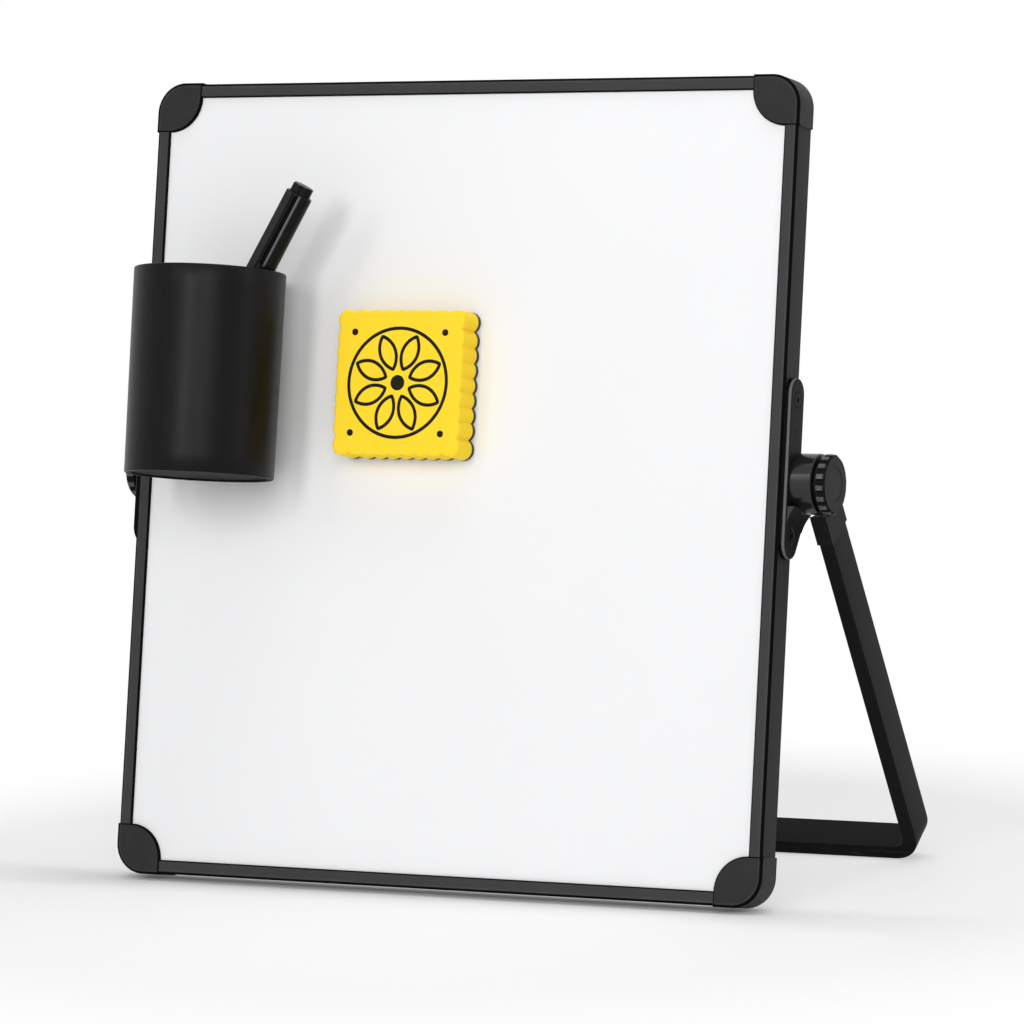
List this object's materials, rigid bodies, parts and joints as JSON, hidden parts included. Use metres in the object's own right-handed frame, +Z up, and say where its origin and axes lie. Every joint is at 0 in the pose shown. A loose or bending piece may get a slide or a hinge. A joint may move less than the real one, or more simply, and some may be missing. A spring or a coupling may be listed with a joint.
{
  "type": "magnetic desk whiteboard easel",
  "caption": "Magnetic desk whiteboard in a thin black frame that turns in a U-shaped stand with clamping knobs, with a magnetic pen cup, a marker and a scalloped eraser.",
  "frame": {"origin": "on the desk, under the middle of the whole object (the board is 4.7 mm to the left of it, because the left hinge is shorter)", "axes": "+X to the right along the board, +Y to the back, +Z up"},
  "size_m": [0.3434, 0.1956, 0.3532],
  "materials": {
    "writing_face": "gloss white dry-wipe coating",
    "board_filler": "raw pressed fibre",
    "frame_metal": "satin black powder coat",
    "corner_plastic": "fine matt texture",
    "hinge_plastic": "satin black moulding",
    "screw_steel": "black oxide",
    "insert_brass": "machined",
    "ring_fibre": "dark fibre",
    "stand_metal": "satin black powder coat",
    "leg_plastic": "satin black moulding",
    "washer_steel": "plain",
    "knob_plastic": "satin black moulding",
    "bolt_steel": "zinc plated",
    "disc_plastic": "matt",
    "cup_plastic": "satin black",
    "magnet_metal": "nickel plated",
    "pad_film": "thin soft film",
    "marker_plastic": "satin black",
    "nib_felt": "inked felt",
    "marker_fibre": "inked fibre",
    "marker_cap_plastic": "satin black",
    "eraser_foam": "soft yellow foam",
    "eraser_magnet": "flexible magnet sheet",
    "eraser_felt": "black felt"
  },
  "bodies": {
    "board": {"front_sheet": "writing_face", "rear_sheet": "writing_face", "board_core": "board_filler", "top_rail": "frame_metal", "bottom_rail": "frame_metal", "left_rail": "frame_metal", "right_rail": "frame_metal", "cap_top_left": "corner_plastic", "cap_top_right": "corner_plastic", "cap_bottom_left": "corner_plastic", "cap_bottom_right": "corner_plastic", "bracket_left": "hinge_plastic", "bracket_right": "hinge_plastic", "bracket_screws": "screw_steel", "insert_right": "insert_brass", "friction_ring_left": "ring_fibre", "friction_ring_right": "ring_fibre", "knob_bolt_left": "bolt_steel"},
    "stand": {"stand_tube": "stand_metal", "leg_head_left": "leg_plastic", "leg_head_right": "leg_plastic"},
    "washer_left": {"washer_left": "washer_steel"},
    "washer_right": {"washer_right": "washer_steel"},
    "knob_left": {"knob_body_left": "knob_plastic", "insert_left": "insert_brass", "knob_disc_left": "disc_plastic"},
    "knob_right": {"knob_body_right": "knob_plastic", "knob_bolt_right": "bolt_steel", "knob_disc_right": "disc_plastic"},
    "cup": {"pen_cup": "cup_plastic", "cup_magnets": "magnet_metal", "cup_pad": "pad_film"},
    "marker": {"marker_barrel": "marker_plastic", "marker_nib": "nib_felt", "marker_reservoir": "marker_fibre"},
    "marker_cap": {"marker_cap_shell": "marker_cap_plastic"},
    "eraser": {"eraser_foam": "eraser_foam", "eraser_magnet": "eraser_magnet", "eraser_felt": "eraser_felt"}
  },
  "joints": [
    {"name": "stand_tilt", "type": "hinge", "parent": "board", "child": "stand", "pos_m": [-0.00455, -0.01513, 0.17881], "axis": [1, 0, 0], "continuous": true},
    {"name": "washer_right_shift", "type": "slide", "parent": "board", "child": "washer_right", "axis": [1, 0, 0], "range_m": [0, 0.001]},
    {"name": "knob_right_turn", "type": "hinge", "parent": "washer_right", "child": "knob_right", "pos_m": [-0.00455, -0.01513, 0.17881], "axis": [1, 0, 0], "range_deg": [0, 360]},
    {"name": "washer_left_shift", "type": "slide", "parent": "board", "child": "washer_left", "axis": [-1, 0, 0], "range_m": [0, 0.001]},
    {"name": "knob_left_turn", "type": "hinge", "parent": "washer_left", "child": "knob_left", "pos_m": [-0.00455, -0.01513, 0.17881], "axis": [-1, 0, 0], "range_deg": [0, 360]},
    {"name": "cup_slide", "type": "slide", "parent": "board", "child": "cup", "axis": [0, 0.1848, 0.9828], "range_m": [-0.165, 0.055]},
    {"name": "marker_lift", "type": "slide", "parent": "cup", "child": "marker", "axis": [0.4695, 0.1632, 0.8677], "range_m": [0, 0.095]},
    {"name": "cap_pull", "type": "slide", "parent": "marker", "child": "marker_cap", "axis": [0.4695, 0.1632, 0.8677], "range_m": [0, 0.05]},
    {"name": "eraser_slide", "type": "slide", "parent": "board", "child": "eraser", "axis": [1, 0, 0], "range_m": [-0.018, 0.138]}
  ],
  "couplings": [
    {"joint": "washer_right_shift", "follows": "knob_right_turn", "m_per_rad": 0.000159},
    {"joint": "washer_left_shift", "follows": "knob_left_turn", "m_per_rad": 0.000159}
  ]
}
